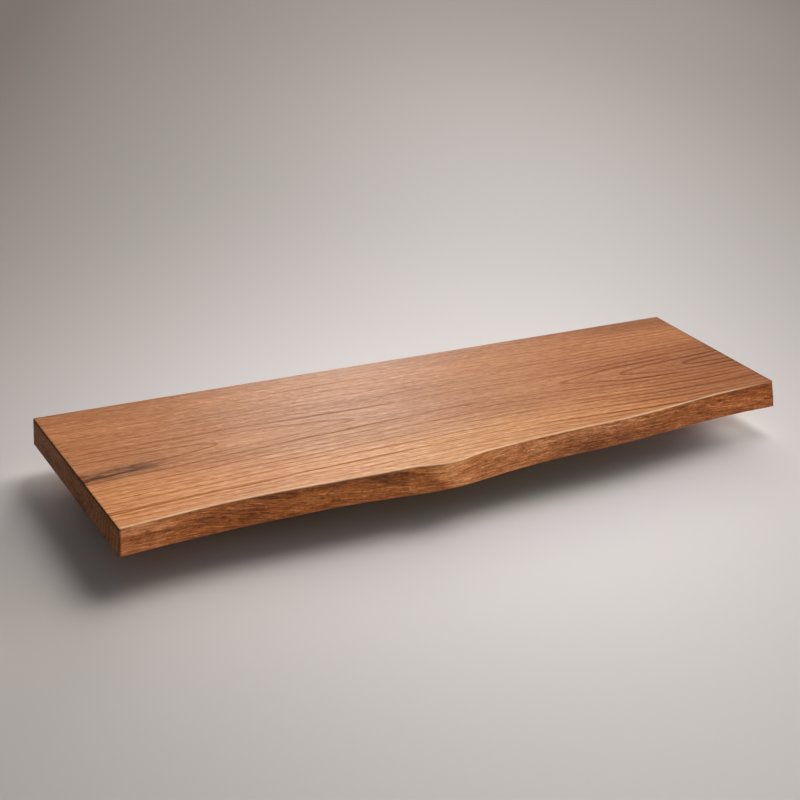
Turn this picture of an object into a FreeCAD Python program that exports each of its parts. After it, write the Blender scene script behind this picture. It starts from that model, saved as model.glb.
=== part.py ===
"""Live edge wall shelf.

One hardwood slab hangs on three steel rods that stand out of small wall plates.
The rods slide into blind bores in the slab's back edge and the plates sink into
mortises there, so the slab lies against the wall and hides what carries it. Below
each rod a grub screw, in a brass insert in the underside, locks the slab on.

Sizes are in millimetres. X runs along the shelf to the right, the wall is the plane
Y = 0 with the room on its -Y side, and Z is up. The origin lies on the wall, at the
middle of the length and at the height of the rods.
"""
import FreeCAD
import Part
import math
import os
from dataclasses import dataclass

Vector = FreeCAD.Vector
TO_WALL = Vector(0, 1, 0)
UP = Vector(0, 0, 1)

# The slab. Depths run from the wall to the top arris of the live edge at each end of
# the board, and the underside stands out past that arris by the lean.
LENGTH = 900.0
THICKNESS = 32.0
DEPTH_LEFT = 265.5
DEPTH_RIGHT = 235.5
LEAN_LEFT = 3.0
LEAN_RIGHT = 6.0
TOP_EASE = 1.2
BACK_CORNER_RADIUS = 2.0
LEFT_CORNER_RADIUS = 2.0
RIGHT_CORNER_RADIUS = 4.0

# The relief of the live edge between its two arrises.
BELLY = 1.0
UNDERCUT = 2.2
STATION_STEP = 24.0
RELIEF_ROWS = 7

# The steel supports.
SUPPORT_INSET = 150.0
ROD_DIAMETER = 12.0
ROD_REACH = 150.0
ROD_TIP_CHAMFER = 1.5
ROD_SHOULDER = 1.0
PLATE_LENGTH = 100.0
PLATE_HEIGHT = 22.0
PLATE_THICKNESS = 4.0
PLATE_HOLE_INSET = 14.0
PLATE_HOLE_DIAMETER = 5.5
COUNTERSINK_DIAMETER = 10.5
COUNTERSINK_LAND = 1.5

# How the slab fits over the supports.
MORTISE_CLEARANCE = 0.5
BORE_CLEARANCE = 0.25
BORE_END_CLEARANCE = 5.0

# The locking screws and their inserts.
LOCK_SETBACK = 45.0
INSERT_DIAMETER = 9.0
FLANGE_DIAMETER = 12.0
FLANGE_THICKNESS = 1.0
INSERT_WEB = 1.75
INSERT_CLEARANCE = 0.05
SCREW_DIAMETER = 6.0
SCREW_RECESS = 1.75
SCREW_TIP_GAP = 0.25
SCREW_CLEARANCE = 0.05
SCREW_CHAMFER = 0.5
PASSAGE_CLEARANCE = 0.3
HEX_ACROSS_FLATS = 3.0
HEX_DEPTH = 3.5

OVERSHOOT = 12.0


@dataclass(frozen=True)
class Swell:
    """A smooth swelling of the live edge, or a hollow where its height is negative."""

    centre: float
    reach: float
    height: float

    def at(self, distance):
        """Return the swell at a distance from the left end: one raised cosine."""
        share = min(abs(distance - self.centre) / self.reach, 1.0)
        return self.height * (1 + math.cos(math.pi * share)) / 2


# What the top arris adds to a straight line between the two end depths.
TOP_SWELLS = (
    Swell(centre=112.0, reach=139.0, height=-4.6),
    Swell(centre=385.0, reach=52.0, height=6.9),
    Swell(centre=395.0, reach=226.0, height=10.8),
    Swell(centre=641.0, reach=190.0, height=8.5),
)

# The same for the arris of the underside, which the wood reaches further out to.
UNDER_SWELLS = (
    Swell(centre=100.0, reach=200.0, height=-5.7),
    Swell(centre=363.0, reach=127.0, height=10.4),
    Swell(centre=442.0, reach=137.0, height=8.3),
    Swell(centre=622.0, reach=190.0, height=6.4),
)

# Where the face falls back just under the top arris, as shares of UNDERCUT.
UNDERCUT_SWELLS = (
    Swell(centre=330.0, reach=110.0, height=1.0),
    Swell(centre=470.0, reach=90.0, height=-0.4),
    Swell(centre=870.0, reach=170.0, height=0.8),
)


def taper(left, right, distance):
    """Return the value on a straight line from the left end to the right end."""
    return left + (right - left) * distance / LENGTH


def top_depth(distance):
    """Return the depth of the top face at a distance from the left end."""
    straight = taper(DEPTH_LEFT, DEPTH_RIGHT, distance)
    return straight + sum(swell.at(distance) for swell in TOP_SWELLS)


def under_depth(distance):
    """Return the depth of the underside at a distance from the left end."""
    straight = taper(DEPTH_LEFT + LEAN_LEFT, DEPTH_RIGHT + LEAN_RIGHT, distance)
    return straight + sum(swell.at(distance) for swell in UNDER_SWELLS)


def face_depth(distance, drop):
    """Return the depth of the live edge, drop going from 0 at the top to 1 below.

    The face is a straight line between the arrises, plus a belly at mid height,
    less the undercut that is deepest at a quarter of the way down.
    """
    line = top_depth(distance) * (1 - drop) + under_depth(distance) * drop
    belly = BELLY * math.sin(math.pi * drop)
    hollow = UNDERCUT * math.sin(math.pi * drop) * math.exp(-2 * drop)
    return line + belly - hollow * sum(swell.at(distance) for swell in UNDERCUT_SWELLS)


def live_edge_surface():
    """Return the live edge as one smooth face that runs past the slab all round."""
    steps = math.ceil((LENGTH + 2 * OVERSHOOT) / STATION_STEP)
    grid = []
    for station in range(steps + 1):
        distance = -OVERSHOOT + (LENGTH + 2 * OVERSHOOT) * station / steps
        column = []
        for row in range(-1, RELIEF_ROWS + 2):
            drop = row / RELIEF_ROWS
            depth = face_depth(distance, drop)
            height = THICKNESS * (0.5 - drop)
            column.append(Vector(distance - LENGTH / 2, -depth, height))
        grid.append(column)
    surface = Part.BSplineSurface()
    surface.interpolate(grid)
    return surface.toShape()


def edges_where(shape, test):
    """Return the shape's edges whose two ends both pass the test."""
    return [edge for edge in shape.Edges if all(test(end.Point) for end in edge.Vertexes)]


def upright_edge(shape, at_right, at_wall):
    """Return the slab's upright edge at one of its four corners."""
    side = LENGTH / 2 if at_right else -LENGTH / 2
    slack = 0.01

    def at_corner(point):
        on_side = abs(point.x - side) < slack
        on_wall = abs(point.y) < slack
        return on_side and on_wall == at_wall

    found = edges_where(shape, at_corner)
    return [edge for edge in found if edge.BoundBox.ZLength > THICKNESS - slack]


def top_rim(shape):
    """Return the edges round the slab's top face."""
    slack = 0.01
    return edges_where(shape, lambda point: abs(point.z - THICKNESS / 2) < slack)


def blank_slab():
    """Return the slab before any hole, eased round its top and crisp below."""
    box_depth = 2 * max(DEPTH_LEFT, DEPTH_RIGHT)
    corner = Vector(-LENGTH / 2, -box_depth, -THICKNESS / 2)
    box = Part.makeBox(LENGTH, box_depth, THICKNESS, corner)
    wood = live_edge_surface().extrude(Vector(0, box_depth, 0))
    slab = box.common(wood).Solids[0]
    slab = slab.makeFillet(RIGHT_CORNER_RADIUS, upright_edge(slab, True, False))
    slab = slab.makeFillet(LEFT_CORNER_RADIUS, upright_edge(slab, False, False))
    slab = slab.makeFillet(BACK_CORNER_RADIUS, upright_edge(slab, True, True))
    slab = slab.makeFillet(BACK_CORNER_RADIUS, upright_edge(slab, False, True))
    tightest = min(BACK_CORNER_RADIUS, LEFT_CORNER_RADIUS, RIGHT_CORNER_RADIUS)
    ease = min(TOP_EASE, 0.9 * tightest)
    return slab.makeFillet(ease, top_rim(slab))


def stadium(length, height, depth, x):
    """Return a slot-shaped block that reaches from the wall into the room."""
    radius = height / 2
    half = length / 2 - radius
    upper_left = Vector(x - half, 0, radius)
    upper_right = Vector(x + half, 0, radius)
    lower_right = Vector(x + half, 0, -radius)
    lower_left = Vector(x - half, 0, -radius)
    right_end = Part.Arc(upper_right, Vector(x + half + radius, 0, 0), lower_right)
    left_end = Part.Arc(lower_left, Vector(x - half - radius, 0, 0), upper_left)
    outline = Part.Wire([
        Part.makeLine(upper_left, upper_right),
        right_end.toShape(),
        Part.makeLine(lower_right, lower_left),
        left_end.toShape(),
    ])
    return Part.Face(outline).extrude(Vector(0, -depth, 0))


def shaft_to_room(diameter, start, length, x):
    """Return a cylinder at the rods' height that runs from a depth into the room."""
    return Part.makeCylinder(diameter / 2, length, Vector(x, -start, 0), -TO_WALL)


def post_up(diameter, bottom, top, x):
    """Return an upright cylinder on the line of a locking screw."""
    base = Vector(x, -LOCK_SETBACK, bottom)
    return Part.makeCylinder(diameter / 2, top - bottom, base, UP)


UNDERSIDE = -THICKNESS / 2
MORTISE_DEPTH = PLATE_THICKNESS + MORTISE_CLEARANCE
SPIGOT_DIAMETER = ROD_DIAMETER - 2 * ROD_SHOULDER
BORE_DIAMETER = ROD_DIAMETER + 2 * BORE_CLEARANCE
BORE_DEPTH = PLATE_THICKNESS + ROD_REACH + BORE_END_CLEARANCE
INSERT_TOP = -BORE_DIAMETER / 2 - INSERT_WEB
SCREW_TIP = -ROD_DIAMETER / 2 - SCREW_TIP_GAP
SCREW_BOTTOM = UNDERSIDE + SCREW_RECESS


def board(support_places):
    """Return the slab with a mortise, a rod bore and a screw hole at each support."""
    slab = blank_slab()
    fit = 2 * INSERT_CLEARANCE
    for x in support_places:
        mortise_length = PLATE_LENGTH + 2 * MORTISE_CLEARANCE
        mortise_height = PLATE_HEIGHT + 2 * MORTISE_CLEARANCE
        mortise = stadium(mortise_length, mortise_height, MORTISE_DEPTH, x)
        bore = shaft_to_room(BORE_DIAMETER, 0, BORE_DEPTH, x)
        passage = post_up(SCREW_DIAMETER + 2 * PASSAGE_CLEARANCE, UNDERSIDE, 0, x)
        seat = post_up(INSERT_DIAMETER + fit, UNDERSIDE, INSERT_TOP, x)
        flange_top = UNDERSIDE + FLANGE_THICKNESS
        rebate = post_up(FLANGE_DIAMETER + fit, UNDERSIDE, flange_top, x)
        slab = slab.cut([mortise, bore, passage, seat, rebate])
    return slab.Solids[0]


def wall_plate(x):
    """Return a slot-shaped plate with a rod hole and two countersunk screw holes."""
    plate = stadium(PLATE_LENGTH, PLATE_HEIGHT, PLATE_THICKNESS, x)
    cutters = [shaft_to_room(SPIGOT_DIAMETER, 0, PLATE_THICKNESS, x)]
    for side in (-1, 1):
        hole_x = x + side * (PLATE_LENGTH / 2 - PLATE_HOLE_INSET)
        cutters.append(shaft_to_room(PLATE_HOLE_DIAMETER, 0, PLATE_THICKNESS, hole_x))
        cutters.append(Part.makeCone(
            PLATE_HOLE_DIAMETER / 2,
            COUNTERSINK_DIAMETER / 2,
            PLATE_THICKNESS - COUNTERSINK_LAND,
            Vector(hole_x, -COUNTERSINK_LAND, 0),
            -TO_WALL,
        ))
    return plate.cut(cutters).Solids[0]


def support_rod(x):
    """Return a rod whose turned-down spigot fills the plate and ends flush behind."""
    shaft = shaft_to_room(ROD_DIAMETER, PLATE_THICKNESS, ROD_REACH, x)
    tip_y = -PLATE_THICKNESS - ROD_REACH
    tip = edges_where(shaft, lambda point: abs(point.y - tip_y) < ROD_TIP_CHAMFER)
    shaft = shaft.makeChamfer(ROD_TIP_CHAMFER, tip)
    spigot = shaft_to_room(SPIGOT_DIAMETER, 0, PLATE_THICKNESS, x)
    return shaft.fuse(spigot).removeSplitter().Solids[0]


def threaded_insert(x):
    """Return a flanged brass bush that lies flush with the underside."""
    body = post_up(INSERT_DIAMETER, UNDERSIDE, INSERT_TOP, x)
    flange = post_up(FLANGE_DIAMETER, UNDERSIDE, UNDERSIDE + FLANGE_THICKNESS, x)
    thread = post_up(SCREW_DIAMETER + 2 * SCREW_CLEARANCE, UNDERSIDE, INSERT_TOP, x)
    return body.fuse(flange).removeSplitter().cut(thread).Solids[0]


def lock_screw(x):
    """Return a grub screw with a hexagon socket in its lower end."""
    shank = post_up(SCREW_DIAMETER, SCREW_BOTTOM, SCREW_TIP, x)
    tip = edges_where(shank, lambda point: abs(point.z - SCREW_TIP) < SCREW_CHAMFER)
    shank = shank.makeChamfer(SCREW_CHAMFER, tip)
    corner_radius = HEX_ACROSS_FLATS / math.sqrt(3)
    corners = []
    for corner in range(7):
        angle = math.radians(60 * corner)
        across = x + corner_radius * math.cos(angle)
        away = -LOCK_SETBACK + corner_radius * math.sin(angle)
        corners.append(Vector(across, away, SCREW_BOTTOM))
    socket = Part.Face(Part.makePolygon(corners)).extrude(Vector(0, 0, HEX_DEPTH))
    return shank.cut(socket).Solids[0]


def main():
    """Build every piece and write one STEP file for each."""
    outer = LENGTH / 2 - SUPPORT_INSET
    supports = {"left": -outer, "centre": 0.0, "right": outer}
    pieces = {"live_edge_board": board(supports.values())}
    for side, x in supports.items():
        pieces["wall_plate_" + side] = wall_plate(x)
        pieces["support_rod_" + side] = support_rod(x)
        pieces["threaded_insert_" + side] = threaded_insert(x)
        pieces["lock_screw_" + side] = lock_screw(x)
    os.makedirs("parts", exist_ok=True)
    for name, shape in pieces.items():
        print(name, "valid" if shape.isValid() else "not valid", round(shape.Volume, 1))
        shape.exportStep("parts/" + name + ".step")


main()
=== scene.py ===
"""Dress and light the live edge wall shelf.

A hardwood slab with a waved live edge hides three steel rods on wall plates, and is
locked on from below by grub screws in brass inserts. Every shape is a surface worked
out as whole arrays in millimetres, in the part's own frame: X runs along the shelf,
the wall is the plane Y = 0 with the room on its -Y side, and Z is up.
"""

import logging
import math
from dataclasses import dataclass
from enum import Enum

import bpy
import numpy as np
from mathutils import Matrix, Vector


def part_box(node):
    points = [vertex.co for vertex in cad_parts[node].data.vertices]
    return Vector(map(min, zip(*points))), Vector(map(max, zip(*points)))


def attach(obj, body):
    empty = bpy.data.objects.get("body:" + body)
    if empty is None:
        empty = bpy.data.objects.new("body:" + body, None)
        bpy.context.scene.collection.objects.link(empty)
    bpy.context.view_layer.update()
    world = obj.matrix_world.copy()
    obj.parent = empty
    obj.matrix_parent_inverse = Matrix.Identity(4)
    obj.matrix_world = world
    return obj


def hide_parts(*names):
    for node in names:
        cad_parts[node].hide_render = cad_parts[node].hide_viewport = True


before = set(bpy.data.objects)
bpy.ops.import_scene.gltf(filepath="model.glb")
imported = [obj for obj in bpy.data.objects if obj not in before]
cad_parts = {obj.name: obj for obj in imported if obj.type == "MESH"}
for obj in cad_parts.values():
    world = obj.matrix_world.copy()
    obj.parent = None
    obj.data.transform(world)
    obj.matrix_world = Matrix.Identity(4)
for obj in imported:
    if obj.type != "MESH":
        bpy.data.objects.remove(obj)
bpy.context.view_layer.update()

METRE = 1000.0
FULL_TURN = 2.0 * math.pi
QUARTER_TURN = math.pi / 2.0
COLUMNS = 96  # points around a turned piece
PAST = 1.0  # how far a cutter starts outside the face that it cuts
HALF_LENGTH = 450.0  # of the slab, for the wood's rings
HALF_THICKNESS = 16.0

Pair = tuple[float, float]
Triple = tuple[float, float, float]
Pairs = tuple[Pair, ...]
Profile = list[Pair]
Stops = tuple[tuple[float, Triple], ...]
Array = np.ndarray
Piece = bpy.types.Object

log = logging.getLogger("shelf")


class Body(Enum):
    """The bodies of the part, which the pieces ride on."""

    SUPPORTS = "wall_supports"
    SHELF = "shelf"
    LEFT_LOCK = "left_lock"
    CENTRE_LOCK = "centre_lock"
    RIGHT_LOCK = "right_lock"


class Slot(Enum):
    """The material slots of the record."""

    WOOD = "oiled_wood"
    PLATE = "plate_steel"
    ROD = "rod_steel"
    BRASS = "insert_brass"
    SCREW = "screw_steel"


class Place(Enum):
    """The three supports along the shelf, by the word in their nodes' names."""

    LEFT = "left"
    CENTRE = "centre"
    RIGHT = "right"

    @property
    def lock_body(self) -> Body:
        """Return the body of the locking screw below this support."""
        return Body(f"{self.value}_lock")


def held(values: Array) -> Array:
    """Return values held between 0 and 1."""
    return np.clip(values, 0.0, 1.0)


def between(start: Array, end: Array, share: Array) -> Array:
    """Return what lies at each share of the way from start to end."""
    return start * (1.0 - share) + end * share


def heaped(forms: tuple, *place: Array) -> Array:
    """Return the sum of what each form gives at a place."""
    return sum(form.at(*place) for form in forms)


@dataclass(frozen=True)
class Surface:
    """A mesh as arrays.

    Attributes:
        points: Corner places in millimetres, one row each.
        quads: Four corner numbers a face, counter-clockwise from outside.
        triangles: Three corner numbers a face, the same way round.
    """

    points: Array
    quads: Array
    triangles: Array


def joined(rings: Array, closed: bool = False) -> Array:
    """Join each ring to the next by quads.

    Args:
        rings: Points of shape (rings, columns, 3); the columns close on themselves.
        closed: Whether the last ring is joined to the first as well.

    Returns:
        Four corner numbers a face.
    """
    rows, columns = rings.shape[:2]
    row, here = np.arange(rows if closed else rows - 1)[:, None], np.arange(columns)
    this, above, after = row * columns, (row + 1) % rows * columns, (here + 1) % columns
    return np.stack([this + here, this + after, above + after, above + here], axis=-1).reshape(-1, 4)


def lofted(rings: Array, start: bool = True) -> Surface:
    """Join a stack of rings into a skin and close its ends by triangles to their mean points.

    Args:
        rings: Points of shape (rings, columns, 3); the columns close on themselves.
        start: Whether the first ring is closed, as the last always is.

    Returns:
        The surface.
    """
    rows, columns = rings.shape[:2]
    first = np.arange(columns)
    last = first + (rows - 1) * columns
    ends = [(rings[-1], last, np.roll(last, -1))]
    if start:
        ends.insert(0, (rings[0], np.roll(first, -1), first))
    poles = [ring.mean(axis=0) for ring, _, _ in ends]
    fans = [
        np.stack([np.full(columns, rows * columns + number), one, other], axis=-1)
        for number, (_, one, other) in enumerate(ends)
    ]
    return Surface(np.concatenate([rings.reshape(-1, 3), poles]), joined(rings), np.concatenate(fans))


def ring_closed(rings: Array) -> Surface:
    """Join rings to each other and the last to the first, as a hollow turned piece's skin."""
    return Surface(rings.reshape(-1, 3), joined(rings, closed=True), np.empty((0, 3), dtype=int))


def meshed(surface: Surface, name: str) -> Piece:
    """Make a mesh object of a surface, in metres.

    Args:
        surface: The surface in millimetres.
        name: The piece's name.

    Returns:
        The object, linked to the scene, with its place in its mesh.
    """
    mesh = bpy.data.meshes.new(name)
    faces = [*surface.quads.tolist(), *surface.triangles.tolist()]
    mesh.from_pydata((surface.points / METRE).tolist(), [], faces)
    piece = bpy.data.objects.new(name, mesh)
    bpy.context.scene.collection.objects.link(piece)
    return piece


def smoothed(piece: Piece, crease: float) -> Piece:
    """Shade a piece smoothly, but keep its sharp edges.

    Args:
        piece: The object to shade.
        crease: Edges that turn by more degrees than this stay sharp.

    Returns:
        The same object.
    """
    piece.data.shade_smooth()
    piece.data.set_sharp_from_angle(angle=math.radians(crease))
    return piece


def pierced(piece: Piece, cutters: list[Surface]) -> Piece:
    """Cut solids out of a piece, and leave the plain result as its mesh.

    Args:
        piece: The object to cut.
        cutters: Closed surfaces of what is taken away.

    Returns:
        The same object.
    """
    for number, cutter in enumerate(cutters):
        tool = meshed(cutter, f"{piece.name}_tool_{number}")
        cut = piece.modifiers.new("cut", "BOOLEAN")
        cut.operation = "DIFFERENCE"
        cut.solver = "MANIFOLD"
        cut.object = tool
        graph = bpy.context.evaluated_depsgraph_get()
        before = piece.data
        piece.data = bpy.data.meshes.new_from_object(piece.evaluated_get(graph))
        piece.modifiers.clear()
        bpy.data.meshes.remove(before)
        bpy.data.objects.remove(tool)
    piece.data.name = piece.name
    return piece


@dataclass(frozen=True)
class Axis:
    """A line that turned pieces are made about.

    Attributes:
        origin: A point on the line, in millimetres.
        side: A unit direction square to the line.
        other: The unit direction that, with side, turns about the line by the right hand.
    """

    origin: Triple
    side: Triple
    other: Triple

    def around(self, runs: list, columns: int) -> Array:
        """Place rings about the line.

        A point is origin + along * direction + radius * (side * cos(t) + other * sin(t)),
        with t evenly spaced over a full turn.

        Args:
            runs: (radius, along) pairs that each spread to the shape (rings, columns).
            columns: Points in each ring.

        Returns:
            Points of shape (rings, columns, 3).
        """
        turn = np.arange(columns)[None, :] * FULL_TURN / columns
        spread = [np.broadcast_arrays(*run, turn)[:2] for run in runs]
        radius, along = (np.concatenate(part)[..., None] for part in zip(*spread))
        round_it = np.cos(turn)[..., None] * self.side + np.sin(turn)[..., None] * self.other
        return self.origin + along * np.cross(self.side, self.other) + radius * round_it


def towards_room(middle: Vector) -> Axis:
    """Return the line from the wall straight into the room through a point."""
    return Axis((middle.x, 0.0, middle.z), (1.0, 0.0, 0.0), (0.0, 0.0, 1.0))


def upward(middle: Vector, foot: float) -> Axis:
    """Return the line straight up through a point, starting at the height of its foot."""
    return Axis((middle.x, middle.y, foot), (1.0, 0.0, 0.0), (0.0, 1.0, 0.0))


def plain(profile: Profile) -> Array:
    """Return a profile's radii and places as a run that is the same all round."""
    return np.array(profile).T[:, :, None]


def turned(axis: Axis, profile: Profile, columns: int = COLUMNS) -> Surface:
    """Turn (radius, place along the line) pairs about a line and close both ends."""
    return lofted(axis.around([plain(profile)], columns))


def rounded(radius: float, along: float, ease: float, opening: bool) -> Profile:
    """Return profile points of a quarter round between a side and its flat end.

    A point is (radius - ease * (1 - sin(t)), along + or - ease * (1 - cos(t))).

    Args:
        radius: Radius of the side.
        along: Place of the flat end.
        ease: Radius of the round.
        opening: True at the end where the profile starts, False where it ends.

    Returns:
        The points in the order of the profile.
    """
    turn = np.linspace(0.0, QUARTER_TURN, 5)
    drop = ease * (1.0 - np.cos(turn))
    points = list(zip(radius - ease * (1.0 - np.sin(turn)), along + drop if opening else along - drop))
    return points if opening else points[::-1]


def stadium_block(middle: Vector, straight: float, profile: Profile) -> Surface:
    """Carry a profile round a stadium that lies in a plane parallel to the wall.

    A ring is the stadium with half round ends of the profile's radius, centres half the
    straight length to each side, set off into the room by the profile's second value.

    Args:
        middle: Middle of the stadium.
        straight: Length of the straight sides.
        profile: (end radius, distance from the wall) pairs from the wall outwards.

    Returns:
        The closed surface.
    """
    half_turn = np.linspace(-QUARTER_TURN, QUARTER_TURN, 33)
    turn = np.concatenate([half_turn, half_turn + math.pi])
    shift = np.repeat([straight / 2.0, -straight / 2.0], len(half_turn))
    radius, out = plain(profile)
    x, z = middle.x + shift + radius * np.cos(turn), middle.z + radius * np.sin(turn)
    return lofted(np.stack([x, np.broadcast_to(-out, x.shape), z], axis=-1))


@dataclass(frozen=True)
class Swell:
    """One swell or hollow of the live edge: a raised cosine along the board.

    Attributes:
        centre: Its middle, measured from the left end.
        reach: How far it runs to each side.
        height: How far it stands out, negative where it draws in.
    """

    centre: float
    reach: float
    height: float

    def at(self, distance: Array) -> Array:
        """Return height * (1 + cos(pi * share of the reach)) / 2, and zero past the reach."""
        share = np.minimum(np.abs(distance - self.centre) / self.reach, 1.0)
        return self.height * (1.0 + np.cos(math.pi * share)) / 2.0


@dataclass(frozen=True)
class Ripple:
    """Uneven relief as a sum of cosine waves with random directions, lengths and phases.

    Attributes:
        seed: Start of the random numbers, so that the relief is the same each time.
        waves: Number of waves.
        along: Shortest and longest wavelength along the shelf, in millimetres.
        up: Shortest and longest wavelength up the edge, in millimetres.
        height: Root mean square height of the sum, in millimetres.
    """

    seed: int
    waves: int
    along: Pair
    up: Pair
    height: float

    def at(self, distance: Array, level: Array) -> Array:
        """Work out the sum over the waves of cos(2 pi (distance / a + level / b) + phase), scaled to height.

        Args:
            distance: Places along the shelf from the left end.
            level: Heights on the edge.

        Returns:
            Relief in millimetres.
        """
        chance = np.random.default_rng(self.seed)
        total = np.zeros(np.broadcast(distance, level).shape)
        for _ in range(self.waves):
            length = math.exp(chance.uniform(math.log(self.along[0]), math.log(self.along[1])))
            rise = math.exp(chance.uniform(math.log(self.up[0]), math.log(self.up[1])))
            slant = chance.choice([-1.0, 1.0])
            phase = chance.uniform(0.0, FULL_TURN)
            total += np.cos(FULL_TURN * (distance / length + slant * level / rise) + phase)
        return self.height * total * math.sqrt(2.0 / self.waves)


@dataclass(frozen=True)
class Knot:
    """A small grown-over knot in the live edge: a dimple inside a low rim.

    Attributes:
        distance: Place along the shelf from the left end.
        level: Height on the edge.
        radius: Radius of the rim, up the edge.
        depth: Depth of the dimple.
        rim: Height of the rim.
        longer: How much longer than high the knot is.
    """

    distance: float
    level: float
    radius: float
    depth: float
    rim: float
    longer: float = 1.6

    def at(self, distance: Array, level: Array) -> Array:
        """Return rim * exp(-8 (q - 1)^2) - depth * exp(-2 q^2), with q the share of the rim's radius."""
        share = np.hypot((distance - self.distance) / self.longer, level - self.level) / self.radius
        return self.rim * np.exp(-8.0 * (share - 1.0) ** 2) - self.depth * np.exp(-2.0 * share**2)


@dataclass(frozen=True)
class Patch:
    """A lighter or darker patch of the live edge: a slanting oval with soft rims.

    Attributes:
        distance: Its middle along the shelf from the left end.
        level: Height of its middle on the edge.
        reach: Half its length.
        rise: Half its height.
        slant: How much its long axis climbs per millimetre to the right.
        amount: How much lighter it is, negative where darker.
    """

    distance: float
    level: float
    reach: float
    rise: float
    slant: float
    amount: float

    def at(self, distance: Array, level: Array) -> Array:
        """Work out amount * exp(-q^2), with q the squared share of the oval's size.

        Args:
            distance: Places along the shelf from the left end.
            level: Heights on the edge.

        Returns:
            What the patch adds to the tone.
        """
        along = distance - self.distance
        above = level - self.level - self.slant * along
        return self.amount * np.exp(-(((along / self.reach) ** 2 + (above / self.rise) ** 2) ** 2))


@dataclass
class LiveEdgeBoard:
    """The slab: flat top and underside, straight back, sawn ends and a waved live front edge.

    Attributes:
        node: The node that the slab stands for.
        depth: Depth of the top face at the left and the right end.
        lean: How far the underside stands out past the top there.
        top_ease, foot_ease: Radius of the rims of the top face and the underside.
        back_corner, left_corner: Radius of the upright corners at the wall and front left.
        right_corner: Radius of the front right corner at the top and at the underside.
        belly: How far the edge bulges between its arrises.
        undercut: Strength of the hollow under the top arris.
        top_swells, under_swells: Swells of the top and the lower arris.
        undercut_swells: Where the hollow under the top arris is.
        broad: Slow hewn relief of the edge.
        fibre: Relief of the fibres that run along the edge.
        stipple: Fine relief of the rough stretch.
        rough_stretch: Where the fine relief is strongest.
        knots: Small knots in the edge.
        fibre_slopes: How much the fibres climb per millimetre, at distances from the left end.
        tone: Middle tone of the edge.
        patches: Lighter and darker patches of the edge. They are mostly the wood's own tone, but
            the dark ones just under the top arris are partly painted shade under the lip, and the
            light ones on the big swell, from about 380 to 470 mm, are partly painted light.
        step: Spacing of the sections.
        cap_rim: Width of the strip round each end face.
        inset: How far the whole edge is cut back.
        skin_ends: Distances inside the live edge at which its mark starts to fade and is gone.
        highlight_reach: How far inside the top arris the painted highlight reaches.
        highlight_fade: Distance from the right end over which the painted highlight fades.
        corner_reach: Reach of the painted shade on the upright corners, along the board and across it.
    """

    node: str = "live_edge_board"
    depth: Pair = (265.5, 235.5)
    lean: Pair = (3.0, 6.0)
    top_ease: float = 1.2
    foot_ease: float = 0.6
    back_corner: float = 2.0
    left_corner: float = 2.0
    right_corner: Pair = (4.0, 0.8)
    belly: float = 1.0
    undercut: float = 2.2
    top_swells: tuple[Swell, ...] = (
        Swell(112, 139, -4.6), Swell(385, 52, 6.9), Swell(395, 226, 10.8), Swell(641, 190, 8.5),
    )
    under_swells: tuple[Swell, ...] = (
        Swell(100, 200, -5.7), Swell(363, 127, 10.4), Swell(442, 137, 8.3), Swell(622, 190, 6.4),
        Swell(900, 60, 2.5),
    )
    undercut_swells: tuple[Swell, ...] = (
        Swell(330, 110, 1.0), Swell(470, 90, -0.4), Swell(870, 170, 0.8),
    )
    broad: Ripple = Ripple(3, 14, (70.0, 190.0), (30.0, 90.0), 0.16)
    fibre: Ripple = Ripple(11, 40, (22.0, 90.0), (4.0, 14.0), 0.14)
    stipple: Ripple = Ripple(23, 60, (2.8, 7.0), (2.4, 7.0), 0.09)
    rough_stretch: Swell = Swell(600, 110, 1.0)
    knots: tuple[Knot, ...] = (
        Knot(338, 2.0, 6.0, 0.9, 0.45), Knot(248, -4.0, 4.0, 0.4, 0.25), Knot(612, 8.0, 3.5, 0.35, 0.2),
    )
    fibre_slopes: Pairs = (
        (0, -0.02), (70, -0.05), (110, -0.20), (200, -0.14), (300, -0.12), (360, -0.04), (450, 0.03),
        (560, -0.02), (700, -0.06), (900, -0.09),
    )
    tone: float = 0.45
    # Mostly the wood's tone; the dark patches just under the top arris are partly painted shade, the light
    # ones on the big swell partly painted light.
    patches: tuple[Patch, ...] = (
        Patch(0, 0, 78, 40, 0, 0.16), Patch(28, 10, 50, 6, -0.05, 0.16),
        Patch(22, -11, 50, 5, -0.05, 0.13), Patch(38, 2, 45, 2.6, -0.04, -0.14),
        Patch(128, -2, 42, 9, -0.15, -0.10), Patch(186, 12, 42, 4.5, -0.03, -0.24),
        Patch(218, -2, 20, 12, 0, 0.06), Patch(275, 11.5, 55, 4, -0.02, -0.28),
        Patch(243, -6, 18, 1.6, -0.28, -0.20), Patch(240, 6, 14, 1.6, 0.50, -0.18),
        Patch(265, -3, 34, 6, -0.05, 0.08), Patch(315, 8, 26, 8, -0.10, -0.20),
        Patch(325, -6, 30, 4, -0.12, 0.14), Patch(383, 9, 24, 11, 0.05, 0.33),
        Patch(394, -8, 24, 8, -0.10, 0.32), Patch(372, -1, 9, 3, 0.30, 0.12),
        Patch(402, 2, 14, 2, 0.25, -0.14), Patch(470, 2, 75, 40, 0, 0.22),
        Patch(612, 10, 72, 6, 0, 0.18), Patch(600, -9, 85, 7, 0, -0.12),
        Patch(845, -3, 62, 6, -0.08, 0.12), Patch(845, 12.5, 55, 2.4, -0.03, -0.20),
        Patch(450, 9, 460, 5, 0, 0.07), Patch(25, 9, 40, 7, 0, 0.10), Patch(850, 2, 60, 14, 0, 0.07),
    )
    step: float = 1.1
    cap_rim: float = 2.6
    inset: float = 0.08
    skin_ends: Pair = (0.9, 2.0)
    highlight_reach: float = 2.5
    highlight_fade: float = 80.0
    corner_reach: Pair = (2.0, 2.2)

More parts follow.
